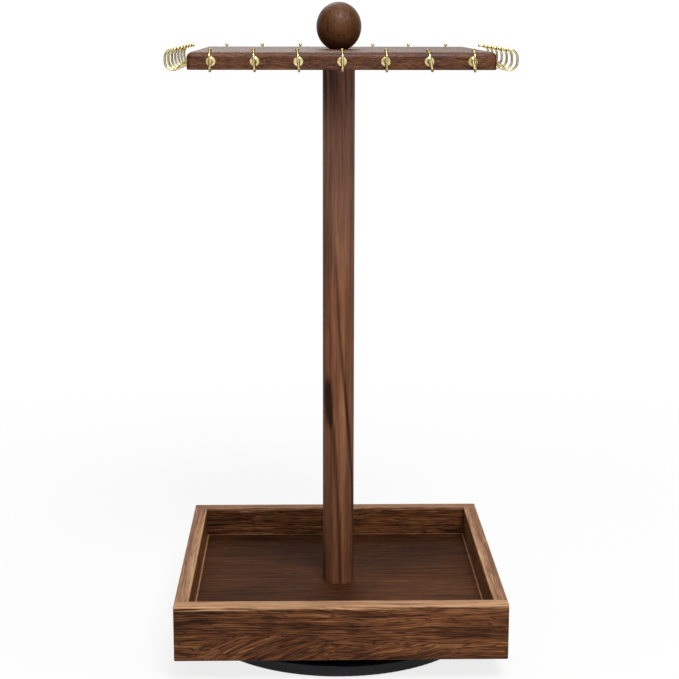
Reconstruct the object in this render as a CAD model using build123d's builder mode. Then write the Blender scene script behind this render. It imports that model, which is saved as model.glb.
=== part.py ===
from build123d import *
from math import acos, cos, degrees, radians, sin, tan
import os

# A rotating jewellery stand. A square open tray turns on a ball-bearing turntable over a
# round black base. A round post stands in the middle of the tray and carries a square
# board, with seven brass cup hooks in each of its four edges, and a turned ball on top.
#
# Millimetres, +Z up. The origin is on the turntable's axis, on the surface that the stand
# rests on. The front of the stand faces -Y.

# ---- driving dimensions -------------------------------------------------------------------

# Base
pad_radius = 7.0
pad_height = 1.0
pad_count = 4
pad_circle_radius = 82.0
disc_radius = 100.0
disc_thickness = 8.0
disc_edge_round = 1.0
access_hole_radius = 6.5

# Turntable bearing: two square pressed plates with a ball race between them
bearing_height = 8.5
plate_width = 90.0
plate_corner_round = 6.0
plate_hole_spacing = 76.0
plate_hole_radius = 2.1
sheet = 1.2
race_radius = 31.0
race_crest = 2.8
race_crest_width = 1.6
race_ramp_width = 2.0
hub_radius = 17.0
hub_height = 5.0
hub_lip_radius = 21.5
collar_radius = 22.8
collar_height = 6.9
collar_lip_radius = 19.6
ball_radius = 2.5
ball_clearance = 0.1
ball_count = 16
cage_inner_radius = 26.0
cage_outer_radius = 36.0
cage_thickness = 1.0
cage_pocket_radius = 2.7

# Tray
tray_width = 220.0
wall_thickness = 9.5
wall_height = 38.0
wall_edge_round = 0.9
wall_inner_chamfer = 0.3
floor_thickness = 16.0
floor_recess = 0.5
floor_edge_chamfer = 0.5

# Pins that hold the tray's boards
pin_radius = 0.6
pin_length = 22.0
pin_cover = 1.0
corner_pin_rise = 11.0
floor_pin_spacing = 120.0

# Post
post_radius = 11.0
post_seat_depth = 8.0

# Hook board
board_width = 192.0
board_thickness = 11.0
board_top_height = 410.6
board_top_round = 3.6
board_corner_round = 2.5
board_bottom_round = 0.8

# Ball finial, turned a little taller than wide, and the stud that clamps the board under it
finial_radius = 15.2
finial_half_height = 16.3
finial_flat_radius = 6.0
stud_radius = 3.0
stud_in_post = 26.0
stud_in_finial = 15.0
stud_pitch = 1.5
stud_point = 1.0

# Wood screws
thread_depth = 0.35
fit_clearance = 0.05
bearing_screw_radius = 1.7
bearing_screw_head_radius = 3.5
bearing_screw_head_height = 1.8
bearing_screw_face_radius = 2.1
bearing_screw_rim_height = 0.8
bearing_screw_pitch = 1.2
bearing_screw_point = 2.0
lower_screw_length = 7.0
upper_screw_length = 12.0
post_screw_radius = 2.4
post_screw_head_radius = 4.8
post_screw_length = 42.0
post_screw_pitch = 1.8
post_screw_point = 4.0
post_screw_neck = 1.0
driver_slot_width = 0.9
driver_slot_depth = 1.0

# Cup hooks
hook_spacing = 27.0
hook_below_middle = 0.3
hook_wire_radius = 0.75
hook_tip_radius = 1.15
hook_flange_radius = 2.9
hook_flange_thickness = 0.8
hook_flange_face_radius = 1.6
hook_flange_rim_thickness = 0.36
hook_shank_radius = 1.15
hook_shank_length = 10.0
hook_shank_pitch = 1.1
hook_shank_point = 2.0
hook_reach = 14.5
hook_neck_slope = 42.0
hook_neck_bend = 1.0
hook_neck_root = 0.2
hook_lower_radius = 5.1
hook_lower_drop = 0.5
hook_side_run = 2.2
hook_upper_radius = 5.4
hook_upper_sweep = 100.0

# How far each hook is turned about its own screw, in degrees, as a hand leaves it, from
# left to right as one faces that edge of the board. Positive leans its tip to the left.
hook_leans = {
    "front": (0, 3, 5, 1, 2, 13, 5),
    "right": (3, -4, 2, 6, -3, 1, 4),
    "back": (4, -2, 3, 0, 5, -4, 2),
    "left": (2, 5, -3, 3, 1, -4, 3),
}
edge_angles = {"front": -90, "right": 0, "back": 90, "left": 180}

# ---- sizes and heights that follow from them ----------------------------------------------

disc_top = pad_height + disc_thickness
bearing_top = disc_top + bearing_height
floor_bottom = bearing_top
floor_top = floor_bottom + floor_thickness
floor_middle = (floor_bottom + floor_top) / 2
wall_bottom = floor_bottom - floor_recess
wall_middle = wall_bottom + wall_height / 2
post_bottom = floor_top - post_seat_depth
post_screw_tip = floor_bottom + post_screw_length
board_bottom = board_top_height - board_thickness
hook_height = board_bottom + board_thickness / 2 - hook_below_middle
stud_bottom = board_bottom - stud_in_post
stud_top = board_top_height + stud_in_finial
finial_rise = finial_half_height * (1 - (finial_flat_radius / finial_radius) ** 2) ** 0.5
finial_centre = board_top_height + finial_rise

inner_width = tray_width - 2 * wall_thickness
wall_centre = (tray_width - wall_thickness) / 2
bearing_screw_hole = bearing_screw_radius + fit_clearance

os.makedirs("parts", exist_ok=True)


def save(piece, name):
    """Labels a finished piece and writes its STEP file."""
    piece.part.label = name
    export_step(piece.part, f"parts/{name}.step")


# ---- threads and screws -------------------------------------------------------------------


def threaded_side(top, bottom, radius, pitch, point):
    """The side of a threaded shank as (radius, height) points, down from top to its point."""
    points = [(radius, top)]
    height = top
    while height - pitch > bottom + point:
        points.append((radius - thread_depth, height - pitch / 2))
        points.append((radius, height - pitch))
        height -= pitch
    points.append((radius - thread_depth, bottom + point))
    points.append((0, bottom))
    return points


def cut_driver_slot(arm_length, top):
    """Cuts a cross slot for a driver into the screw head that is being built."""
    with Locations((0, 0, top - driver_slot_depth / 2)):
        Box(arm_length, driver_slot_width, driver_slot_depth, mode=Mode.SUBTRACT)
        Box(driver_slot_width, arm_length, driver_slot_depth, mode=Mode.SUBTRACT)


def bearing_screw(length):
    """A pan-head wood screw, head up, with the underside of its head at Z = 0."""
    with BuildPart() as screw:
        with BuildSketch(Plane.XZ):
            with BuildLine():
                Polyline(
                    (0, bearing_screw_head_height),
                    (bearing_screw_face_radius, bearing_screw_head_height),
                    (bearing_screw_head_radius, bearing_screw_rim_height),
                    (bearing_screw_head_radius, 0),
                    *threaded_side(
                        0, -length, bearing_screw_radius, bearing_screw_pitch, bearing_screw_point
                    ),
                    close=True,
                )
            make_face()
        revolve(axis=Axis.Z)
        cut_driver_slot(bearing_screw_head_radius, bearing_screw_head_height)
    return screw.part


# ---- base ---------------------------------------------------------------------------------

with BuildPart() as anti_slip_pads:
    with BuildSketch():
        with PolarLocations(pad_circle_radius, pad_count, start_angle=45):
            Circle(pad_radius)
    extrude(amount=pad_height)
save(anti_slip_pads, "anti_slip_pads")

# The screws of both bearing plates lie on one circle about the axis. A driver reaches the
# upper ones from below, through the hole that this circle passes over.
access_hole_reach = plate_hole_spacing / 2**0.5

with BuildPart() as base_disc:
    with BuildSketch(Plane.XY.offset(pad_height)):
        Circle(disc_radius)
    extrude(amount=disc_thickness)
    fillet(base_disc.edges().filter_by(GeomType.CIRCLE), disc_edge_round)
    with Locations((0, -access_hole_reach, disc_top)):
        Hole(access_hole_radius)
    with Locations((0, 0, disc_top)):
        with GridLocations(plate_hole_spacing, plate_hole_spacing, 2, 2):
            Hole(bearing_screw_hole, depth=lower_screw_length - sheet + fit_clearance)
save(base_disc, "base_disc")

# ---- turntable bearing --------------------------------------------------------------------

race_wall_radius = ball_radius + ball_clearance
race_middle = bearing_height / 2
race_floor = race_middle - race_wall_radius
race_half_width = (race_wall_radius**2 - (race_middle - race_crest) ** 2) ** 0.5
outer_crest = race_radius + race_half_width
outer_ramp = outer_crest + race_crest_width
outer_flat = outer_ramp + race_ramp_width
inner_crest = race_radius - race_half_width
inner_ramp = inner_crest - race_crest_width
inner_flat = inner_ramp - race_ramp_width


def pressed_plate(neck_radius, neck_height, lip_radius):
    """A square pressed plate, flat on Z = 0, with a round race for the balls on top.

    Its middle is drawn up into a round neck, whose rim is rolled over to lip_radius.
    """
    with BuildPart() as plate:
        with BuildSketch(Plane.XZ):
            with BuildLine():
                Polyline(
                    (outer_crest, race_crest),
                    (outer_ramp, race_crest),
                    (outer_flat, sheet),
                    (plate_width, sheet),
                    (plate_width, 0),
                    (outer_flat, 0),
                    (outer_ramp, race_crest - sheet),
                    (outer_crest, race_crest - sheet),
                    (race_radius, race_floor - sheet),
                    (inner_crest, race_crest - sheet),
                    (inner_ramp, race_crest - sheet),
                    (inner_flat, 0),
                    (neck_radius, 0),
                    (neck_radius, sheet),
                    (inner_flat, sheet),
                    (inner_ramp, race_crest),
                    (inner_crest, race_crest),
                )
                ThreePointArc(
                    (inner_crest, race_crest),
                    (race_radius, race_floor),
                    (outer_crest, race_crest),
                )
            make_face()
        revolve(axis=Axis.Z)
        with BuildSketch():
            RectangleRounded(plate_width, plate_width, plate_corner_round)
            with GridLocations(plate_hole_spacing, plate_hole_spacing, 2, 2):
                Circle(plate_hole_radius, mode=Mode.SUBTRACT)
        extrude(amount=bearing_height, mode=Mode.INTERSECT)
        lip_start = min(neck_radius, lip_radius)
        lip_end = max(neck_radius + sheet, lip_radius)
        with BuildSketch(Plane.XZ):
            with Locations((neck_radius, 0)):
                Rectangle(sheet, neck_height, align=Align.MIN)
            with Locations((lip_start, neck_height - sheet)):
                Rectangle(lip_end - lip_start, sheet, align=Align.MIN)
        revolve(axis=Axis.Z)
    return plate.part


lower_seat = Plane.XY.offset(disc_top)
upper_seat = Plane(origin=(0, 0, bearing_top), z_dir=(0, 0, -1))
race_plane = Plane.XY.offset(disc_top + race_middle)

# The lower plate's neck is the hub, and its lip keeps the upper plate from lifting off.
lower_plate_form = pressed_plate(hub_radius, hub_height, hub_lip_radius)
with BuildPart() as bearing_lower_plate:
    with Locations(lower_seat):
        add(lower_plate_form)
save(bearing_lower_plate, "bearing_lower_plate")

# The upper plate's neck reaches down round the hub, and its lip turns in below the hub's.
upper_plate_form = pressed_plate(collar_radius, collar_height, collar_lip_radius)
with BuildPart() as bearing_upper_plate:
    with Locations(upper_seat):
        add(upper_plate_form)
save(bearing_upper_plate, "bearing_upper_plate")

with BuildPart() as bearing_balls:
    with Locations(race_plane):
        with PolarLocations(race_radius, ball_count):
            Sphere(ball_radius)
save(bearing_balls, "bearing_balls")

with BuildPart() as bearing_cage:
    with BuildSketch(race_plane):
        Circle(cage_outer_radius)
        Circle(cage_inner_radius, mode=Mode.SUBTRACT)
        with PolarLocations(race_radius, ball_count):
            Circle(cage_pocket_radius, mode=Mode.SUBTRACT)
    extrude(amount=cage_thickness / 2, both=True)
save(bearing_cage, "bearing_cage")

lower_screw_form = bearing_screw(lower_screw_length)
with BuildPart() as bearing_lower_screws:
    with Locations(lower_seat.offset(sheet)):
        with GridLocations(plate_hole_spacing, plate_hole_spacing, 2, 2):
            add(lower_screw_form)
save(bearing_lower_screws, "bearing_lower_screws")

upper_screw_form = bearing_screw(upper_screw_length)
with BuildPart() as bearing_upper_screws:
    with Locations(upper_seat.offset(sheet)):
        with GridLocations(plate_hole_spacing, plate_hole_spacing, 2, 2):
            add(upper_screw_form)
save(bearing_upper_screws, "bearing_upper_screws")

# ---- tray ---------------------------------------------------------------------------------

# Every pin runs through one board, just under its surface, and into its neighbour.
pin_centre = tray_width / 2 - pin_cover - pin_length / 2
corner_pin_places = [
    (side * wall_centre, front * pin_centre, wall_middle + rise)
    for side in (-1, 1)
    for front in (-1, 1)
    for rise in (-corner_pin_rise, corner_pin_rise)
]
side_floor_pin_places = [
    (side * pin_centre, along, floor_middle)
    for side in (-1, 1)
    for along in (-floor_pin_spacing / 2, floor_pin_spacing / 2)
]
end_floor_pin_places = [(y, x, z) for x, y, z in side_floor_pin_places]


def pins_at(places, direction, radius, length, mode):
    """Puts a round pin at each place, along direction, in the piece that is being built."""
    for place in places:
        with Locations(Plane(origin=place, z_dir=direction)):
            Cylinder(radius, length, mode=mode)


def cut_pin_holes():
    """Cuts the hole of every pin out of the board that is being built."""
    radius = pin_radius + fit_clearance
    length = pin_length + 2 * fit_clearance
    pins_at(corner_pin_places, (0, 1, 0), radius, length, Mode.SUBTRACT)
    pins_at(side_floor_pin_places, (1, 0, 0), radius, length, Mode.SUBTRACT)
    pins_at(end_floor_pin_places, (0, 1, 0), radius, length, Mode.SUBTRACT)


def wall_board(length, ends_show):
    """A board of the tray's frame, lying along X with its outer face to -Y."""
    with BuildPart() as board:
        with BuildSketch(Plane.XY.offset(wall_bottom)):
            with Locations((0, -wall_centre)):
                Rectangle(length, wall_thickness)
        extrude(amount=wall_height)
        inner_top_edge = board.edges().group_by(Axis.Z)[-1].sort_by(Axis.Y)[-1]
        chamfer(inner_top_edge, wall_inner_chamfer)
        worn_edges = board.faces().sort_by(Axis.Y)[0].edges()
        if ends_show:
            worn_edges += board.edges().filter_by(Axis.Y)
        else:
            worn_edges = worn_edges.filter_by(Axis.X)
        fillet(worn_edges, wall_edge_round)
    return board.part


# The front and back boards cover the ends of the two side boards.
end_board_form = wall_board(tray_width, ends_show=True)
side_board_form = wall_board(inner_width, ends_show=False)
for wall_name, wall_form, wall_angle in (
    ("tray_front_wall", end_board_form, 0),
    ("tray_right_wall", side_board_form, 90),
    ("tray_back_wall", end_board_form, 180),
    ("tray_left_wall", side_board_form, 270),
):
    with BuildPart() as tray_wall:
        with Locations(Location((0, 0, 0), (0, 0, wall_angle))):
            add(wall_form)
        cut_pin_holes()
    save(tray_wall, wall_name)

with BuildPart() as tray_floor:
    with BuildSketch(Plane.XY.offset(floor_bottom)):
        Rectangle(inner_width, inner_width)
    extrude(amount=floor_thickness)
    chamfer(tray_floor.faces().sort_by(Axis.Z)[-1].edges(), floor_edge_chamfer)
    # The post stands in a blind seat, and its screw comes up through the middle.
    with Locations((0, 0, floor_top)):
        Hole(post_radius + fit_clearance, depth=post_seat_depth)
    with Locations(upper_seat):
        CounterSinkHole(
            post_screw_radius + fit_clearance,
            post_screw_head_radius + fit_clearance,
            counter_sink_angle=90,
        )
        with GridLocations(plate_hole_spacing, plate_hole_spacing, 2, 2):
            Hole(bearing_screw_hole, depth=upper_screw_length - sheet + fit_clearance)
    cut_pin_holes()
save(tray_floor, "tray_floor")

with BuildPart() as corner_pins:
    pins_at(corner_pin_places, (0, 1, 0), pin_radius, pin_length, Mode.ADD)
save(corner_pins, "corner_pins")

with BuildPart() as floor_pins:
    pins_at(side_floor_pin_places, (1, 0, 0), pin_radius, pin_length, Mode.ADD)
    pins_at(end_floor_pin_places, (0, 1, 0), pin_radius, pin_length, Mode.ADD)
save(floor_pins, "floor_pins")

# ---- post ---------------------------------------------------------------------------------

with BuildPart() as post:
    with BuildSketch(Plane.XY.offset(post_bottom)):
        Circle(post_radius)
    extrude(amount=board_bottom - post_bottom)
    with BuildSketch(Plane.XY.offset(post_bottom)):
        Circle(post_screw_radius + fit_clearance)
    extrude(amount=post_screw_tip - post_bottom + fit_clearance, mode=Mode.SUBTRACT)
    with Locations((0, 0, board_bottom)):
        Hole(stud_radius + fit_clearance, depth=stud_in_post + fit_clearance)
save(post, "post")

with BuildPart() as post_screw_form:
    head_depth = post_screw_head_radius - post_screw_radius
    with BuildSketch(Plane.XZ):
        with BuildLine():
            Polyline(
                (0, 0),
                (post_screw_head_radius, 0),
                (post_screw_radius, -head_depth),
                *threaded_side(
                    -head_depth - post_screw_neck,
                    -post_screw_length,
                    post_screw_radius,
                    post_screw_pitch,
                    post_screw_point,
                ),
                close=True,
            )
        make_face()
    revolve(axis=Axis.Z)
    cut_driver_slot(post_screw_head_radius, 0)
with BuildPart() as post_screw:
    with Locations(upper_seat):
        add(post_screw_form.part)
save(post_screw, "post_screw")

# ---- hook board ---------------------------------------------------------------------------


def hook_places(edge):
    """Where each hook of one edge of the board screws in, X leading out of the board."""
    leans = hook_leans[edge]
    for index, lean in enumerate(leans):
        along = (index - (len(leans) - 1) / 2) * hook_spacing
        at_edge = Location((board_width / 2, along, hook_height), (lean, 0, 0))
        yield Location((0, 0, 0), (0, 0, edge_angles[edge])) * at_edge


with BuildPart() as hook_board:
    with BuildSketch(Plane.XY.offset(board_bottom)):
        Rectangle(board_width, board_width)
    extrude(amount=board_thickness)
    fillet(hook_board.edges().filter_by(Axis.Z), board_corner_round)
    fillet(hook_board.faces().sort_by(Axis.Z)[-1].edges(), board_top_round)
    fillet(hook_board.faces().sort_by(Axis.Z)[0].edges(), board_bottom_round)
    with Locations((0, 0, board_top_height)):
        Hole(stud_radius + fit_clearance)
    for edge in edge_angles:
        for place in hook_places(edge):
            with Locations(place * Location((-hook_shank_length / 2, 0, 0))):
                Cylinder(
                    hook_shank_radius + fit_clearance,
                    hook_shank_length + 2 * fit_clearance,
                    rotation=(0, 90, 0),
                    mode=Mode.SUBTRACT,
                )
save(hook_board, "hook_board")

# ---- finial -------------------------------------------------------------------------------

with BuildPart() as finial_stud:
    stud_side = threaded_side(stud_top, stud_bottom, stud_radius, stud_pitch, stud_point)
    with BuildSketch(Plane.XZ):
        with BuildLine():
            Polyline(
                (0, stud_top),
                *stud_side[:-1],
                (stud_radius / 2, stud_bottom),
                (0, stud_bottom),
                close=True,
            )
        make_face()
    revolve(axis=Axis.Z)
save(finial_stud, "finial_stud")

finial_start = -degrees(acos(finial_flat_radius / finial_radius))
with BuildPart() as finial_ball:
    with BuildSketch(Plane.XZ):
        with BuildLine():
            finial_side = EllipticalCenterArc(
                (0, finial_centre),
                finial_radius,
                finial_half_height,
                start_angle=finial_start,
                arc_size=90 - finial_start,
            )
            Polyline(finial_side @ 1, (0, board_top_height), finial_side @ 0)
        make_face()
    revolve(axis=Axis.Z)
    with BuildSketch(Plane.XY.offset(board_top_height)):
        Circle(stud_radius + fit_clearance)
    extrude(amount=stud_in_finial + fit_clearance, mode=Mode.SUBTRACT)
save(finial_ball, "finial_ball")

# ---- cup hooks ----------------------------------------------------------------------------

# The hook is drawn in its own frame: the board's edge is the plane X = 0, X leads out of
# the board and Y leads up. Its wire leaves the flange's centre, slopes down into a lower
# bend, runs up and ends in an upper bend whose tip points back over the opening.
neck_direction = radians(hook_neck_slope)
lower_bend_start = 270 - hook_neck_slope
lower_centre = (hook_reach - hook_lower_radius, -hook_lower_drop)
upper_centre = (hook_reach - hook_upper_radius, hook_side_run - hook_lower_drop)
neck_end = (
    lower_centre[0] - hook_lower_radius * sin(neck_direction),
    lower_centre[1] - hook_lower_radius * cos(neck_direction),
)
neck_corner = (neck_end[0] + neck_end[1] / tan(neck_direction), 0)
shank_side = threaded_side(
    0, -hook_shank_length, hook_shank_radius, hook_shank_pitch, hook_shank_point
)

with BuildPart() as hook_form:
    with BuildSketch():
        with BuildLine():
            Polyline(
                (hook_flange_thickness, 0),
                (hook_flange_thickness, hook_flange_face_radius),
                (hook_flange_rim_thickness, hook_flange_radius),
                (0, hook_flange_radius),
                *((height, radius) for radius, height in shank_side),
                close=True,
            )
        make_face()
    revolve(axis=Axis.X)
    with BuildLine():
        neck = FilletPolyline(
            (hook_neck_root, 0), neck_corner, neck_end, radius=hook_neck_bend
        )
        CenterArc(lower_centre, hook_lower_radius, lower_bend_start, 360 - lower_bend_start)
        Line((hook_reach, lower_centre[1]), (hook_reach, upper_centre[1]))
        upper_bend = CenterArc(upper_centre, hook_upper_radius, 0, hook_upper_sweep)
    with BuildSketch(Plane(origin=neck @ 0, z_dir=neck % 0)):
        Circle(hook_wire_radius)
    sweep()
    with Locations(Plane(origin=upper_bend @ 1, z_dir=upper_bend % 1)):
        Sphere(hook_tip_radius)

upright = Location((0, 0, 0), (90, 0, 0))
for edge in edge_angles:
    for number, place in enumerate(hook_places(edge), start=1):
        with BuildPart() as cup_hook:
            with Locations(place * upright):
                add(hook_form.part)
        save(cup_hook, f"hook_{edge}_{number}")
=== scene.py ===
import math
from functools import partial

import bpy
from mathutils import Matrix, Vector


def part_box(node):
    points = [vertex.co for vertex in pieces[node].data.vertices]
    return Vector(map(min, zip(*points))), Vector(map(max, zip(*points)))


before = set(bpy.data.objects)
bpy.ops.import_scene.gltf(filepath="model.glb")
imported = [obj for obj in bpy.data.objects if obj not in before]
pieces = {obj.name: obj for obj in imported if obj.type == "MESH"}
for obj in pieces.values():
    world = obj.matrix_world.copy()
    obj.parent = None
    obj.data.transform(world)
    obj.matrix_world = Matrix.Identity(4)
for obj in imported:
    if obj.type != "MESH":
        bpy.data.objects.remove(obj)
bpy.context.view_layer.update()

# A rotating jewellery stand in dark stained wood: an open tray on a turntable, a round post,
# a square board with brass cup hooks in its edges, and a turned ball on top. Its pieces come
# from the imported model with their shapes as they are, and this script gives them their looks.

# ---- tools --------------------------------------------------------------------------------


def linear(code):
    """An sRGB hex colour as the linear red, green, blue and alpha that the shaders take."""
    levels = [int(code[start:start + 2], 16) / 255 for start in (1, 3, 5)]
    curved = [c / 12.92 if c <= 0.04045 else ((c + 0.055) / 1.055) ** 2.4 for c in levels]
    return (*curved, 1.0)


def live(sockets, key):
    """The socket in use with that name or number."""
    if isinstance(key, int):
        return sockets[key]
    return next(s for s in sockets if s.name == key and s.enabled)


def add(tree, kind, inputs=None, stops=None, bends=None, **settings):
    """Adds a node with its settings, its linked or set inputs, and its colour stops or bends."""
    made = tree.nodes.new(kind)
    for name, value in settings.items():
        setattr(made, name, value)
    for key, value in (inputs or {}).items():
        if isinstance(value, bpy.types.Node):
            value = next(s for s in value.outputs if s.enabled)
        if isinstance(value, bpy.types.NodeSocket):
            tree.links.new(value, live(made.inputs, key))
        else:
            live(made.inputs, key).default_value = value
    if stops:
        ramp = made.color_ramp.elements
        for place, _ in stops[1:-1]:
            ramp.new(place)
        for element, (place, code) in zip(ramp, stops):
            element.position = place
            element.color = linear(code)
    if bends:
        curve = made.mapping.curves[0].points
        for place, value in bends[1:-1]:
            curve.new(place, value)
        for point, (place, value) in zip(curve, bends):
            point.location = (place, value)
        made.mapping.update()
    return made


def new_material(name):
    """A node material with an empty tree, and the function that adds nodes to it."""
    material = bpy.data.materials.new(name)
    material.use_nodes = True
    material.node_tree.nodes.clear()
    return material, partial(add, material.node_tree)


def wear(node_names, material):
    """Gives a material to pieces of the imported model."""
    for name in node_names:
        mesh = pieces[name].data
        mesh.materials.clear()
        mesh.materials.append(material)


# The model is in metres, and the patterns are sized in millimetres.
MM = 1000.0

# A noise has this value in its middle, and lies mostly between the other two.
NOISE_MIDDLE = 0.5
NOISE_LOW = 0.3
NOISE_HIGH = 0.7

# ---- wood: stains -------------------------------------------------------------------------

# Acacia stained walnut brown and wiped with a thin oil. The stain sinks into the soft early
# wood and the open pores, so the grain stands out in dark strokes on a warm brown, and the
# surface stays nearly matt, with a sheen only where it is seen edge-on.
WOOD_IOR = 1.45

WALL_BROWNS = (
    (0.00, "#1e0c05"),
    (0.17, "#3a1e0d"),
    (0.36, "#4f2d17"),
    (0.50, "#5d3720"),
    (0.64, "#694026"),
    (0.83, "#7c4f2e"),
    (1.00, "#92623a"),
)
FLOOR_BROWNS = (
    (0.00, "#1e0d05"),
    (0.25, "#331b0b"),
    (0.50, "#472814"),
    (0.75, "#57341d"),
    (1.00, "#6d4527"),
)
# Lighter, greyer browns for the upper post, a painted sheen.
POST_UPPER_SHEEN_BROWNS = (
    (0.00, "#372119"),
    (0.20, "#69473a"),
    (0.50, "#8e6451"),
    (0.80, "#a37662"),
    (1.00, "#bb8e75"),
)
POST_LOWER_BROWNS = (
    (0.00, "#2c180d"),
    (0.20, "#4e2e1d"),
    (0.50, "#6d452f"),
    (0.80, "#865b40"),
    (1.00, "#a0714e"),
)
BALL_BROWNS = (
    (0.00, "#2b1609"),
    (0.25, "#482a15"),
    (0.50, "#5a3822"),
    (0.75, "#684429"),
    (1.00, "#7a5432"),
)
BOARD_BROWNS = (
    (0.00, "#220c03"),
    (0.20, "#3f1e09"),
    (0.50, "#583118"),
    (0.80, "#6e4423"),
    (1.00, "#8a5d32"),
)
SANDED_TANS = (
    (0.00, "#775337"),
    (0.35, "#9c7154"),
    (0.65, "#b48965"),
    (1.00, "#c9a077"),
)
VESSEL_BROWN = "#1c0e06"

# ---- wood: grain --------------------------------------------------------------------------

# Which of the object's axes come first, second and third when the grain comes first.
GRAIN_FIRST = {"X": (0, 1, 2), "Y": (1, 0, 2), "Z": (2, 0, 1)}

# Each piece is cut from its own stretch of the noise, which starts at its seed times this.
SEED_STEP = (137.0, 59.0, 83.0)

# The grain sways by up to this much, over about this length and width of wood.
SWAY = 4.0
SWAY_LENGTH = 90.0
SWAY_WIDTH = 26.0
SWAY_DETAIL = 1.5

# A growth ring across its width: pale early wood, then a dark line of late wood. Each ring
# has its own depth, between the least and 1, and with none it would be all RING_PLAIN.
RING_GREYS = (
    (0.00, "#a0a0a0"),
    (0.12, "#c4c4c4"),
    (0.70, "#a0a0a0"),
    (0.93, "#404040"),
    (1.00, "#909090"),
)
RING_LEAST_DEPTH = 0.2
RING_PLAIN = 0.35
RING_SHARE = 0.3

# How finely each noise is broken up, and the size of the slow light and dark clouds.
STREAK_DETAIL = 3.0
STREAK_ROUGHNESS = 0.6
FIBRE_DETAIL = 1.5
VESSEL_DETAIL = 1.0
CLOUD_LENGTH = 55.0
CLOUD_WIDTH = 22.0
CLOUD_DETAIL = 2.0

# Vessels are 0.2 mm wide. They are drawn about twice that, so that they show. They are
# whole where their noise is within VESSEL_WHOLE of its middle, and fade out from there.
VESSEL_WHOLE = 0.012
VESSEL_GONE = 0.06

# A patch is whole within this part of its reach.
PATCH_WHOLE = 0.35

# A growth line of the post is where an upright layer of late wood, turned by LINE_TURN about
# Z, meets its surface. A curve gives the layer's place across at each height: it runs from 0
# to LINE_TALL up, and from -LINE_WIDE to LINE_WIDE across. The fibres fray the line by up to
# LINE_FRAY. It is darkest within LINE_CORE of its middle, and fades out over its last
# LINE_FADE.
LINE_TALL = 400.0
LINE_WIDE = 15.0
LINE_TURN = math.radians(20.0)
LINE_FRAY = 1.2
LINE_CORE = 0.2
LINE_FADE = 30.0

# End grain drinks more stain, so it is darker. A surface starts to be end grain where it
# faces this much along the grain, and from END_WHOLE on it is all end grain.
END_STARTS = 0.6
END_WHOLE = 0.95
END_DARKER = 0.16

# Sanding begins to bare a wall SAND_STARTS below its top, along a frayed line, and the floor
# RIM_STARTS within its rim, where the pale line is also a painted highlight along its
# chamfer. A little of the vessels is left there.
SAND_STARTS = 3.2
SAND_WHOLE = 0.4
SAND_FRAY = 8.0
RIM_STARTS = 1.5
RIM_WHOLE = 0.9
VESSELS_LEFT = 0.2

# The fibres make the surface smoother or rougher by this much, and stand out as relief.
SMOOTHER = 0.08
ROUGHER = 0.1
RELIEF_STRENGTH = 0.4
RELIEF_METRES = 0.0003


def growth_rings(n, flow, swing, pith, ring_mm):
    """Rings about a pith outside the piece, each ring with its own depth of colour."""
    across = n(
        "ShaderNodeVectorMath",
        {0: n("ShaderNodeVectorMath", {0: flow, 1: swing}), 1: (0.0, 1.0, 1.0)},
        operation="MULTIPLY",
    )
    from_pith = n("ShaderNodeVectorMath", {0: across, 1: (0.0, *pith)}, operation="DISTANCE")
    count = n(
        "ShaderNodeMath", {0: from_pith.outputs["Value"], 1: ring_mm}, operation="DIVIDE"
    )
    number = n("ShaderNodeMath", {0: count}, operation="FLOOR")
    own = n("ShaderNodeTexWhiteNoise", {"W": number}, noise_dimensions="1D").outputs["Value"]
    late = n(
        "ShaderNodeValToRGB",
        {0: n("ShaderNodeMath", {0: count}, operation="FRACT")},
        stops=RING_GREYS,
    )
    depth = n("ShaderNodeMapRange", {"Value": own, "To Min": RING_LEAST_DEPTH, "To Max": 1.0})
    return n(
        "ShaderNodeMix",
        {"Factor": depth, "A": RING_PLAIN, "B": late.outputs[0]},
        data_type="FLOAT",
    )


def drawn_out(n, vector, length, width, detail, rough=0.5):
    """Noise drawn out along the grain, length by width in millimetres."""
    stretched = n(
        "ShaderNodeVectorMath",
        {0: vector, 1: (1 / length, 1 / width, 1 / width)},
        operation="MULTIPLY",
    )
    return n(
        "ShaderNodeTexNoise",
        {"Vector": stretched, "Scale": 1.0, "Detail": detail, "Roughness": rough},
    ).outputs[0]


def patch(n, place, centre, reach):
    """1 in the middle of an egg-shaped patch and 0 outside it."""
    offset = n("ShaderNodeVectorMath", {0: place, 1: centre}, operation="SUBTRACT")
    scaled = n(
        "ShaderNodeVectorMath", {0: offset, 1: [1 / r for r in reach]}, operation="MULTIPLY"
    )
    far = n("ShaderNodeVectorMath", {0: scaled}, operation="LENGTH").outputs["Value"]
    return n(
        "ShaderNodeMapRange",
        {"Value": far, "From Min": PATCH_WHOLE, "From Max": 1.0,
         "To Min": 1.0, "To Max": 0.0},
        interpolation_type="SMOOTHSTEP",
    )


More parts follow.
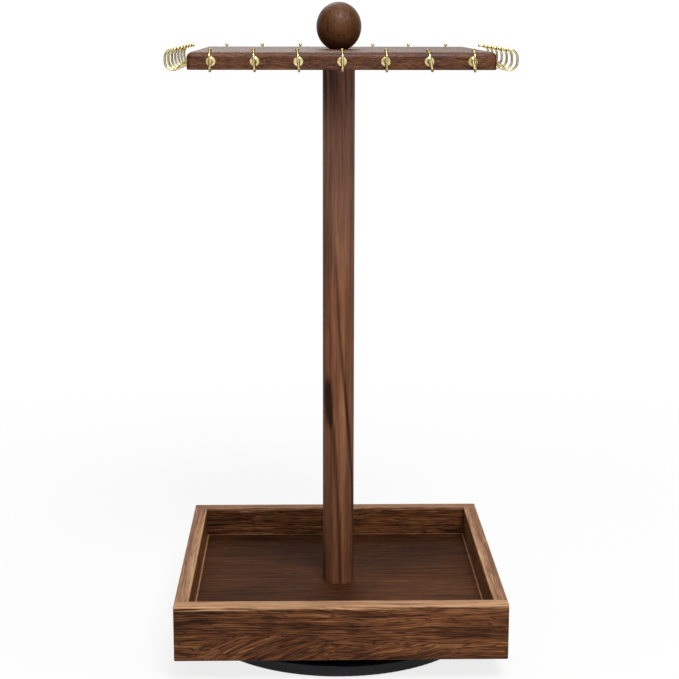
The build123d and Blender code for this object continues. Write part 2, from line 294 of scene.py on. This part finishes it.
def growth_line(n, place, axes, fibres, bends, half_width, darkness, top):
    """How much darker a growth line of the post makes each place."""
    height = n("ShaderNodeMath", {0: axes[2], 1: LINE_TALL}, operation="DIVIDE")
    bend = n(
        "ShaderNodeFloatCurve",
        {"Value": height},
        bends=[(z / LINE_TALL, (x + LINE_WIDE) / (2 * LINE_WIDE)) for z, x in bends],
    )
    middle = n(
        "ShaderNodeMath", {0: bend, 1: 2 * LINE_WIDE, 2: -LINE_WIDE}, operation="MULTIPLY_ADD"
    )
    growth = n(
        "ShaderNodeVectorMath",
        {0: place, 1: (math.cos(LINE_TURN), math.sin(LINE_TURN), 0.0)},
        operation="DOT_PRODUCT",
    ).outputs["Value"]
    off = n("ShaderNodeMath", {0: growth, 1: middle}, operation="SUBTRACT")
    frayed = n(
        "ShaderNodeMath", {0: fibres, 1: LINE_FRAY, 2: off}, operation="MULTIPLY_ADD"
    )
    balanced = n(
        "ShaderNodeMath", {0: frayed, 1: LINE_FRAY * NOISE_MIDDLE}, operation="SUBTRACT"
    )
    away = n("ShaderNodeMath", {0: balanced}, operation="ABSOLUTE")
    dark = n(
        "ShaderNodeMapRange",
        {"Value": away, "From Min": LINE_CORE, "From Max": half_width,
         "To Min": darkness, "To Max": 0.0},
        interpolation_type="SMOOTHSTEP",
    )
    below_top = n(
        "ShaderNodeMapRange",
        {"Value": axes[2], "From Min": top - LINE_FADE, "From Max": top,
         "To Min": 1.0, "To Max": 0.0},
        interpolation_type="SMOOTHSTEP",
    )
    return n("ShaderNodeMath", {0: dark, 1: below_top}, operation="MULTIPLY")


def sanded_part(n, place, axes, streaks, above, rim):
    """1 where sanding has bared the wood and 0 where it has not, or None for a whole stain.
    On the floor's rim the bared line is also a painted highlight along its chamfer.
    """
    if above is not None:
        fray = n(
            "ShaderNodeMath",
            {0: streaks, 1: SAND_FRAY, 2: -SAND_FRAY * NOISE_MIDDLE},
            operation="MULTIPLY_ADD",
        )
        return n(
            "ShaderNodeMapRange",
            {"Value": n("ShaderNodeMath", {0: axes[2], 1: fray}, operation="ADD"),
             "From Min": above - SAND_STARTS, "From Max": above - SAND_WHOLE},
            interpolation_type="SMOOTHSTEP",
        )
    # The floor's rim: pale bared wood, and a painted highlight along its chamfer.
    if rim is not None:
        sides = n("ShaderNodeVectorMath", {0: place}, operation="ABSOLUTE")
        sizes = n("ShaderNodeSeparateXYZ", {0: sides}).outputs
        return n(
            "ShaderNodeMapRange",
            {"Value": n("ShaderNodeMath", {0: sizes[0], 1: sizes[1]}, operation="MAXIMUM"),
             "From Min": rim - RIM_STARTS, "From Max": rim - RIM_WHOLE},
        )
    return None


def stained_wood(
    name,
    grain,
    seed,
    browns,
    pith=(-70.0, 40.0),
    ring_mm=4.5,
    roughness=0.55,
    specular=0.1,
    streak=(80.0, 1.7, 1.75),
    fibre=(15.0, 0.55, 1.35),
    vessel=(26.0, 1.5, 0.75),
    cloud_share=0.5,
    figures=(),
    stain_and_light_patches=(),
    lines=(),
    fade=None,
    sanded_above=None,
    sanded_rim_and_highlight=None,
    sanded_tone_and_light=0.0,
):
    """Stained wood with its grain along one axis: growth rings, streaks, fibres and vessels.

    streak, fibre and vessel are each (length, width, strength). Each figure is (centre, reach,
    angle): a patch where the fibres run obliquely. Each shade patch is (centre, reach, amount):
    a lighter or darker patch; some are the stain's own, and some are painted light and shade.
    Each line is (bends, half width, darkness, top): a growth line up the post. fade is
    (browns, low, high): other browns, mixed in between those heights.
    Sizes and places are in millimetres, places in the object's own axes, angles in degrees.
    """
    material, n = new_material(name)
    coordinates = n("ShaderNodeTexCoord").outputs
    place = n(
        "ShaderNodeVectorMath", {0: coordinates["Object"], 1: (MM,) * 3}, operation="MULTIPLY"
    )
    axes = n("ShaderNodeSeparateXYZ", {0: place}).outputs
    order = GRAIN_FIRST[grain]
    flow = n("ShaderNodeCombineXYZ", {i: axes[a] for i, a in enumerate(order)})

    # The grain sways a few millimetres over a hand's breadth.
    moved = n("ShaderNodeVectorMath", {0: flow, 1: [seed * step for step in SEED_STEP]})
    slow = n(
        "ShaderNodeVectorMath",
        {0: moved, 1: (1 / SWAY_LENGTH, 1 / SWAY_WIDTH, 1 / SWAY_WIDTH)},
        operation="MULTIPLY",
    )
    drift = n("ShaderNodeTexNoise", {"Vector": slow, "Scale": 1.0, "Detail": SWAY_DETAIL})
    centred = n(
        "ShaderNodeVectorMath",
        {0: drift.outputs["Color"], 1: (NOISE_MIDDLE,) * 3},
        operation="SUBTRACT",
    )
    swing = n(
        "ShaderNodeVectorMath", {0: centred, 1: (0, 2 * SWAY, 2 * SWAY)}, operation="MULTIPLY"
    )
    sampled = n("ShaderNodeVectorMath", {0: moved, 1: swing})
    rings = growth_rings(n, flow, swing, pith, ring_mm)

    def strokes(vector):
        """Streaks, fibres, and the noise whose middle value draws the thin vessel lines."""
        return (
            drawn_out(n, vector, *streak[:2], STREAK_DETAIL, STREAK_ROUGHNESS),
            drawn_out(n, vector, *fibre[:2], FIBRE_DETAIL),
            drawn_out(n, vector, *vessel[:2], VESSEL_DETAIL),
        )

    layers = strokes(sampled)
    for centre, reach, angle in figures:
        turned = n(
            "ShaderNodeVectorRotate",
            {"Vector": sampled, "Angle": math.radians(angle)},
            rotation_type="Y_AXIS",
        )
        inside = patch(n, place, centre, reach)
        layers = [
            n("ShaderNodeMix", {"Factor": inside, "A": a, "B": b}, data_type="FLOAT").outputs[0]
            for a, b in zip(layers, strokes(turned))
        ]
    streaks, fibres, vessel_field = layers
    cloud = drawn_out(n, sampled, CLOUD_LENGTH, CLOUD_WIDTH, CLOUD_DETAIL)
    from_vessel = n(
        "ShaderNodeMath",
        {0: n("ShaderNodeMath", {0: vessel_field, 1: NOISE_MIDDLE}, operation="SUBTRACT")},
        operation="ABSOLUTE",
    )
    vessels = n(
        "ShaderNodeMapRange",
        {"Value": from_vessel, "From Min": VESSEL_WHOLE, "From Max": VESSEL_GONE,
         "To Min": 1.0, "To Max": 0.0},
    )

    # The tone is the place in the browns, and starts in their middle.
    tone = 0.5
    for share, layer in (
        (streak[2], streaks), (fibre[2], fibres), (RING_SHARE, rings), (cloud_share, cloud)
    ):
        level = n("ShaderNodeMath", {0: layer, 1: NOISE_MIDDLE}, operation="SUBTRACT")
        tone = n("ShaderNodeMath", {0: level, 1: share, 2: tone}, operation="MULTIPLY_ADD")
    # Lighter and darker patches: some are the stain's own, some are painted light and shade.
    for centre, reach, amount in stain_and_light_patches:
        tone = n(
            "ShaderNodeMath",
            {0: patch(n, place, centre, reach), 1: amount, 2: tone},
            operation="MULTIPLY_ADD",
        )

    for line in lines:
        darker = growth_line(n, place, axes, fibres, *line)
        tone = n("ShaderNodeMath", {0: tone, 1: darker}, operation="SUBTRACT")

    facing = n("ShaderNodeSeparateXYZ", {0: coordinates["Normal"]}).outputs[order[0]]
    end = n(
        "ShaderNodeMapRange",
        {"Value": n("ShaderNodeMath", {0: facing}, operation="ABSOLUTE"),
         "From Min": END_STARTS, "From Max": END_WHOLE, "To Min": 0.0, "To Max": END_DARKER},
    )
    tone = n("ShaderNodeMath", {0: tone, 1: end}, operation="SUBTRACT")
    colour = n("ShaderNodeValToRGB", {0: tone}, stops=browns).outputs[0]
    if fade:
        other, low, high = fade
        share = n("ShaderNodeMapRange", {"Value": axes[2], "From Min": low, "From Max": high})
        colour = n(
            "ShaderNodeMix",
            {"Factor": share, "A": colour, "B": n("ShaderNodeValToRGB", {0: tone}, stops=other)},
            data_type="RGBA",
        )
    stain_in_vessels = n("ShaderNodeMath", {0: vessels, 1: vessel[2]}, operation="MULTIPLY")

    # Where the edges were sanded after staining, the pale wood shows through. Each wall's own
    # shift of that pale tone paints how its top is lit: lighter on the front top, a painted
    # highlight, and darker on the other walls, painted shade. On the floor's rim the pale line
    # is also a painted highlight along its chamfer.
    bare = sanded_part(n, place, axes, streaks, sanded_above, sanded_rim_and_highlight)
    if bare is not None:
        shifted = n("ShaderNodeMath", {0: tone, 1: sanded_tone_and_light}, operation="ADD")
        tan = n("ShaderNodeValToRGB", {0: shifted}, stops=SANDED_TANS)
        colour = n("ShaderNodeMix", {"Factor": bare, "A": colour, "B": tan}, data_type="RGBA")
        kept = n("ShaderNodeMapRange", {"Value": bare, "To Min": 1.0, "To Max": VESSELS_LEFT})
        stain_in_vessels = n(
            "ShaderNodeMath", {0: stain_in_vessels, 1: kept}, operation="MULTIPLY"
        )
    colour = n(
        "ShaderNodeMix",
        {"Factor": stain_in_vessels, "A": colour, "B": linear(VESSEL_BROWN)},
        data_type="RGBA",
    )

    matt = n(
        "ShaderNodeMapRange",
        {"Value": fibres, "From Min": NOISE_LOW, "From Max": NOISE_HIGH,
         "To Min": roughness - SMOOTHER, "To Max": roughness + ROUGHER},
    )
    ridge = n("ShaderNodeMath", {0: fibres, 1: streaks}, operation="ADD")
    relief = n("ShaderNodeMath", {0: ridge, 1: vessels}, operation="SUBTRACT")
    bump = n(
        "ShaderNodeBump",
        {"Height": relief, "Strength": RELIEF_STRENGTH, "Distance": RELIEF_METRES},
    )
    shader = n(
        "ShaderNodeBsdfPrincipled",
        {
            "Base Color": colour,
            "Roughness": matt,
            "IOR": WOOD_IOR,
            "Specular IOR Level": specular,
            "Normal": bump,
        },
    )
    n("ShaderNodeOutputMaterial", {"Surface": shader})
    return material


# ---- wood: pieces -------------------------------------------------------------------------

TRAY_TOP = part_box("tray_front_wall")[1].z * MM
FLOOR_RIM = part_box("tray_floor")[1].x * MM

# About where the front wall's outer face and the floor's top are: patches are placed on them.
FRONT = -110.0
FLOOR_TOP = 33.0

# Two growth lines of the post, as (height, place across the growth).
RIGHT_LINE = (
    (0, 11.0), (100, 7.6), (126, 5.4), (152, 3.2), (175, 0.7), (201, -1.9), (226, -3.8),
    (260, -5.2), (400, -7.0),
)
LEFT_LINE = (
    (0, -1.2), (38, -2.3), (76, -3.6), (102, -4.8), (127, -5.9), (149, -7.4), (161, -8.8),
    (176, -9.8), (400, -12.0),
)

WOODEN_PIECES = {
    "tray_front_wall": dict(
        name="stained_acacia_front",
        grain="X",
        seed=3,
        browns=WALL_BROWNS,
        figures=(
            ((-48.0, FRONT, 23.0), (62.0, 40.0, 17.0), 21.0),
            ((38.0, FRONT, 21.0), (48.0, 40.0, 12.0), 14.0),
        ),
        stain_and_light_patches=(
            ((-88.0, FRONT, 27.0), (34.0, 30.0, 12.0), 0.1),
            ((-92.0, FRONT, 48.0), (22.0, 30.0, 7.0), -0.1),
            ((64.0, FRONT, 37.5), (52.0, 30.0, 4.5), -0.2),
            ((42.0, FRONT, 24.5), (30.0, 30.0, 6.0), 0.16),
            ((80.0, FRONT, 36.0), (60.0, 30.0, 30.0), 0.15),
        ),
        sanded_above=TRAY_TOP,
        # Painted highlight: the front wall's sanded top is lighter.
        sanded_tone_and_light=0.08,
    ),
    "tray_back_wall": dict(
        name="stained_acacia_back",
        grain="X",
        seed=5,
        browns=WALL_BROWNS,
        stain_and_light_patches=(((30.0, 100.0, 40.0), (140.0, 12.0, 40.0), 0.12),),
        sanded_above=TRAY_TOP,
        # Painted shade: this wall's sanded top is darker.
        sanded_tone_and_light=-0.34,
    ),
    "tray_left_wall": dict(
        name="stained_acacia_left",
        grain="Y",
        seed=7,
        browns=WALL_BROWNS,
        # Painted light: the inner face is made lighter, as if lit from the side.
        stain_and_light_patches=(((-99.0, -10.0, 40.0), (9.0, 170.0, 40.0), 0.55),),
        sanded_above=TRAY_TOP,
        # Painted shade: this wall's sanded top is darker.
        sanded_tone_and_light=-0.24,
    ),
    "tray_right_wall": dict(
        name="stained_acacia_right",
        grain="Y",
        seed=11,
        browns=WALL_BROWNS,
        # Painted light: the inner face is made lighter, as if lit from the side.
        stain_and_light_patches=(((99.0, -10.0, 40.0), (9.0, 170.0, 40.0), 0.6),),
        sanded_above=TRAY_TOP,
        # Painted shade: this wall's sanded top is darker.
        sanded_tone_and_light=-0.35,
    ),
    "tray_floor": dict(
        name="stained_acacia_floor",
        grain="X",
        seed=13,
        browns=FLOOR_BROWNS,
        roughness=0.7,
        specular=0.08,
        streak=(60.0, 2.6, 1.0),
        fibre=(12.0, 1.0, 0.8),
        vessel=(20.0, 2.4, 0.3),
        stain_and_light_patches=(
            # Painted shade: the far part of the floor, by the back wall, is darker.
            ((0.0, 85.0, FLOOR_TOP), (150.0, 75.0, 40.0), -0.24),
            # Painted shade and light: the left front of the floor is darker, the right front
            # lighter.
            ((-70.0, -70.0, FLOOR_TOP), (60.0, 60.0, 40.0), -0.1),
            ((70.0, -50.0, FLOOR_TOP), (75.0, 90.0, 40.0), 0.22),
            ((-72.0, -2.0, FLOOR_TOP), (45.0, 0.9, 9.0), 0.3),
        ),
        # A pale sanded rim, which is also a painted highlight along the floor's chamfer.
        sanded_rim_and_highlight=FLOOR_RIM,
    ),
    "post": dict(
        name="stained_acacia_post",
        grain="Z",
        seed=17,
        browns=POST_LOWER_BROWNS,
        roughness=0.5,
        streak=(150.0, 3.5, 0.9),
        fibre=(35.0, 0.9, 0.4),
        vessel=(60.0, 2.0, 0.1),
        cloud_share=0.4,
        stain_and_light_patches=(
            ((-7.2, -9.0, 166.0), (5.5, 8.0, 24.0), -0.42),
            # Painted light: the front middle of the round post is lighter, where light falls on
            # it.
            ((0.5, -11.0, 170.0), (7.0, 8.0, 190.0), 0.16),
            # Painted shadow: the top of the post is darker, under the board.
            ((0.0, 0.0, 405.0), (40.0, 40.0, 60.0), -0.3),
        ),
        lines=((RIGHT_LINE, 1.9, 0.4, 285.0), (LEFT_LINE, 2.1, 0.42, 195.0)),
        # Painted sheen: lighter, greyer browns on the upper part of the post.
        fade=(POST_UPPER_SHEEN_BROWNS, 230.0, 340.0),
    ),
    "hook_board": dict(
        name="stained_acacia_board",
        grain="X",
        seed=19,
        browns=BOARD_BROWNS,
        roughness=0.42,
        specular=0.26,
        streak=(30.0, 3.0, 0.9),
        fibre=(5.0, 1.1, 1.1),
        vessel=(9.0, 2.0, 0.4),
    ),
    "finial_ball": dict(
        name="turned_acacia_ball",
        grain="Z",
        seed=23,
        browns=BALL_BROWNS,
        pith=(0.0, 30.0),
        ring_mm=3.0,
        roughness=0.42,
        specular=0.2,
        streak=(40.0, 3.0, 0.7),
        fibre=(9.0, 1.2, 0.35),
        vessel=(20.0, 3.0, 0.12),
    ),
}
for piece_name, look in WOODEN_PIECES.items():
    wear([piece_name], stained_wood(**look))

# ---- metal, plastic and rubber ------------------------------------------------------------

# The spots turn to the second colour between these values of their noise. A gritty face has
# a fine relief as well.
SPOT_DETAIL = 3.0
SPOT_LOW = 0.38
SPOT_HIGH = 0.66
GRIT_DETAIL = 1.0
GRIT_STRENGTH = 0.25
GRIT_METRES = 0.0001


def plain_finish(
    name,
    base,
    second,
    spot_mm,
    roughness,
    spread,
    metallic=0.0,
    ior=None,
    specular=None,
    edge=None,
    grit_mm=None,
):
    """A finish of two close colours in soft spots, with roughness that varies with them."""
    material, n = new_material(name)
    place = n("ShaderNodeTexCoord").outputs["Object"]
    spots = n(
        "ShaderNodeTexNoise", {"Vector": place, "Scale": MM / spot_mm, "Detail": SPOT_DETAIL}
    ).outputs[0]
    share = n("ShaderNodeMapRange", {"Value": spots, "From Min": SPOT_LOW, "From Max": SPOT_HIGH})
    inputs = {
        "Base Color": n(
            "ShaderNodeMix",
            {"Factor": share, "A": linear(base), "B": linear(second)},
            data_type="RGBA",
        ),
        "Roughness": n(
            "ShaderNodeMapRange",
            {"Value": spots, "From Min": NOISE_LOW, "From Max": NOISE_HIGH,
             "To Min": roughness - spread, "To Max": roughness + spread},
        ),
        "Metallic": metallic,
    }
    if ior:
        inputs["IOR"] = ior
    if specular:
        inputs["Specular IOR Level"] = specular
    # The edge tint darkens a metal where it is seen edge-on: a painted dark reflection.
    if edge:
        inputs["Specular Tint"] = linear(edge)
    if grit_mm:
        grit = n(
            "ShaderNodeTexNoise", {"Vector": place, "Scale": MM / grit_mm, "Detail": GRIT_DETAIL}
        )
        inputs["Normal"] = n(
            "ShaderNodeBump", {"Height": grit, "Strength": GRIT_STRENGTH, "Distance": GRIT_METRES}
        )
    n("ShaderNodeOutputMaterial", {"Surface": n("ShaderNodeBsdfPrincipled", inputs)})
    return material


# Brass-plated steel wire, bright from the plating bath: pale yellow. Its dark olive edge
# tint is painted reflection, darkening the wire where it is seen edge-on.
hook_names = [name for name in pieces if name.startswith("hook_") and name != "hook_board"]
wear(hook_names, plain_finish(
    "bright_brass_plate",
    "#ecdaa6",
    "#b8a266",
    spot_mm=2.5,
    roughness=0.16,
    spread=0.05,
    metallic=1.0,
    edge="#54431f",
))
# Moulded ABS, spark textured: near-black with a dull sheen.
wear(["base_disc"], plain_finish(
    "textured_black_abs",
    "#161619",
    "#1c1c20",
    spot_mm=9.0,
    roughness=0.5,
    spread=0.05,
    ior=1.53,
    specular=0.2,
    grit_mm=0.6,
))
# Zinc-plated pressed steel, also on the screws and on the drawn wire of the pins: grey-blue
# and a little cloudy.
zinc_pieces = [
    "bearing_lower_plate",
    "bearing_upper_plate",
    "bearing_lower_screws",
    "bearing_upper_screws",
    "post_screw",
    "finial_stud",
    "corner_pins",
    "floor_pins",
]
wear(zinc_pieces, plain_finish(
    "zinc_plated_steel",
    "#b4b7ba",
    "#9a9ea3",
    spot_mm=3.0,
    roughness=0.38,
    spread=0.07,
    metallic=1.0,
))
# Hardened bearing steel, polished to a mirror.
wear(["bearing_balls"], plain_finish(
    "polished_ball_steel",
    "#c9cbcd",
    "#bfc2c4",
    spot_mm=4.0,
    roughness=0.12,
    spread=0.03,
    metallic=1.0,
))
# Natural nylon: milky white and slightly waxy.
wear(["bearing_cage"], plain_finish(
    "natural_nylon",
    "#d9d4c6",
    "#cdc7b6",
    spot_mm=5.0,
    roughness=0.5,
    spread=0.05,
    ior=1.53,
))
# Soft black rubber with a dry, fine-pored face.
wear(["anti_slip_pads"], plain_finish(
    "black_rubber",
    "#17171a",
    "#202023",
    spot_mm=1.5,
    roughness=0.8,
    spread=0.06,
    ior=1.52,
    grit_mm=0.4,
))

# ---- studio floor -------------------------------------------------------------------------

FLOOR_RADIUS = 9.0
FLOOR_SIDES = 96
CARD_WHITE = "#f0f0f0"
# The camera sees the card this white near the object, and wholly white from further off.
NEAR_WHITE = 0.82
NEAR_DISTANCE = 0.15
FAR_DISTANCE = 0.9


def place_in_scene(name, data):
    """An object of that mesh, lamp or camera, linked into the scene."""
    placed = bpy.data.objects.new(name, data)
    bpy.context.scene.collection.objects.link(placed)
    return placed


def seen_directly(n):
    """1 for what the camera, a mirror or glass sees, and 0 for light on its way round."""
    path = n("ShaderNodeLightPath").outputs
    seen = n(
        "ShaderNodeMath", {0: path["Is Camera Ray"], 1: path["Is Glossy Ray"]}, operation="ADD"
    )
    return n(
        "ShaderNodeMath",
        {0: seen, 1: path["Is Transmission Ray"]},
        operation="ADD",
        use_clamp=True,
    )


card, n = new_material("white_card")
distance = n(
    "ShaderNodeVectorMath", {0: n("ShaderNodeTexCoord").outputs["Object"]}, operation="LENGTH"
).outputs["Value"]
whitened = n(
    "ShaderNodeMapRange",
    {"Value": distance, "From Min": NEAR_DISTANCE, "From Max": FAR_DISTANCE,
     "To Min": NEAR_WHITE, "To Max": 1.0},
    interpolation_type="SMOOTHSTEP",
)
share = n("ShaderNodeMath", {0: seen_directly(n), 1: whitened}, operation="MULTIPLY")
paper = n("ShaderNodeBsdfDiffuse", {"Color": linear(CARD_WHITE)})
white = n("ShaderNodeEmission", {"Color": (1, 1, 1, 1), "Strength": 1.0})
mixed = n("ShaderNodeMixShader", {0: share, 1: paper, 2: white})
n("ShaderNodeOutputMaterial", {"Surface": mixed})

rim_angles = [math.tau * side / FLOOR_SIDES for side in range(FLOOR_SIDES)]
rim = [(FLOOR_RADIUS * math.cos(a), FLOOR_RADIUS * math.sin(a), 0.0) for a in rim_angles]
floor_mesh = bpy.data.meshes.new("studio_floor")
floor_mesh.from_pydata(rim, [], [tuple(range(FLOOR_SIDES))])
floor_mesh.materials.append(card)
place_in_scene("studio_floor", floor_mesh)

# ---- light --------------------------------------------------------------------------------

# The room is white to look at, and lights the object with this much of that.
WORLD_LIGHT = 0.25
world = bpy.data.worlds.new("studio")
bpy.context.scene.world = world
world.use_nodes = True
world.node_tree.nodes.clear()
n = partial(add, world.node_tree)
strength = n(
    "ShaderNodeMapRange", {"Value": seen_directly(n), "To Min": WORLD_LIGHT, "To Max": 1.0}
)
background = n("ShaderNodeBackground", {"Color": (1, 1, 1, 1), "Strength": strength})
n("ShaderNodeOutputWorld", {"Surface": background})

# Square softboxes, each with its place in metres and its power in watts.
SOFTBOX_SIZE = 0.9
SOFTBOX_AIM = Vector((0.0, 0.0, 0.2))
SOFTBOXES = {
    "front_softbox": ((0.35, -1.4, 1.9), 48.0),
    "top_softbox": ((0.15, 0.2, 1.8), 4.0),
    "rear_softbox": ((-0.3, 1.5, 1.6), 7.0),
}
for lamp_name, (lamp_place, power) in SOFTBOXES.items():
    lamp = bpy.data.lights.new(lamp_name, "AREA")
    lamp.shape = "SQUARE"
    lamp.size = SOFTBOX_SIZE
    lamp.energy = power
    holder = place_in_scene(lamp_name, lamp)
    holder.location = lamp_place
    toward = SOFTBOX_AIM - Vector(lamp_place)
    holder.rotation_euler = toward.to_track_quat("-Z", "Y").to_euler()

# Black cards at both sides, seen only by the metal and the sheen: they draw the dark lines
# along the hooks' wires, as a photographer's flags do.
FLAG_BLACK = "#17150f"
FLAG_OUT = 0.6
FLAG_REACH = 0.5
FLAG_HEIGHT = 1.3
FLAG_CORNERS = (
    (-FLAG_REACH, 0.0),
    (FLAG_REACH, 0.0),
    (FLAG_REACH, FLAG_HEIGHT),
    (-FLAG_REACH, FLAG_HEIGHT),
)
flag_black, n = new_material("black_card")
matt_black = n("ShaderNodeBsdfDiffuse", {"Color": linear(FLAG_BLACK)})
n("ShaderNodeOutputMaterial", {"Surface": matt_black})
for flag_name, side in (("flag_left", -1), ("flag_right", 1)):
    corners = [(side * FLAG_OUT, along, height) for along, height in FLAG_CORNERS]
    flag_mesh = bpy.data.meshes.new("flag")
    flag_mesh.from_pydata(corners, [], [(0, 1, 2, 3)])
    flag_mesh.materials.append(flag_black)
    flag = place_in_scene(flag_name, flag_mesh)
    flag.visible_camera = False
    flag.visible_diffuse = False
    flag.visible_shadow = False

# ---- camera -------------------------------------------------------------------------------

# Found by fitting the corners of the tray, the board, the post and the ball in the
# photograph. Metres, radians, and millimetres for the lens and its sensor.
CAMERA_PLACE = (-0.0224366, -1.0808391, 0.4309114)
CAMERA_YAW = 0.02144
CAMERA_PITCH = -0.2015
CAMERA_ROLL = -0.00155
CAMERA_LENS = 83.354
CAMERA_SENSOR = 36.0
CAMERA_NEAREST = 0.05

ahead = Vector((
    math.sin(CAMERA_YAW) * math.cos(CAMERA_PITCH),
    math.cos(CAMERA_YAW) * math.cos(CAMERA_PITCH),
    math.sin(CAMERA_PITCH),
))
level_right = Vector((math.cos(CAMERA_YAW), -math.sin(CAMERA_YAW), 0.0))
level_down = ahead.cross(level_right)
right = math.cos(CAMERA_ROLL) * level_right + math.sin(CAMERA_ROLL) * level_down
up = -(math.cos(CAMERA_ROLL) * level_down - math.sin(CAMERA_ROLL) * level_right)
camera = place_in_scene("camera", bpy.data.cameras.new("camera"))
camera.data.lens = CAMERA_LENS
camera.data.sensor_width = CAMERA_SENSOR
camera.data.clip_start = CAMERA_NEAREST
camera.matrix_world = Matrix((right, up, -ahead)).transposed().to_4x4()
camera.location = CAMERA_PLACE
bpy.context.scene.camera = camera
bpy.context.scene.view_settings.view_transform = "Standard"
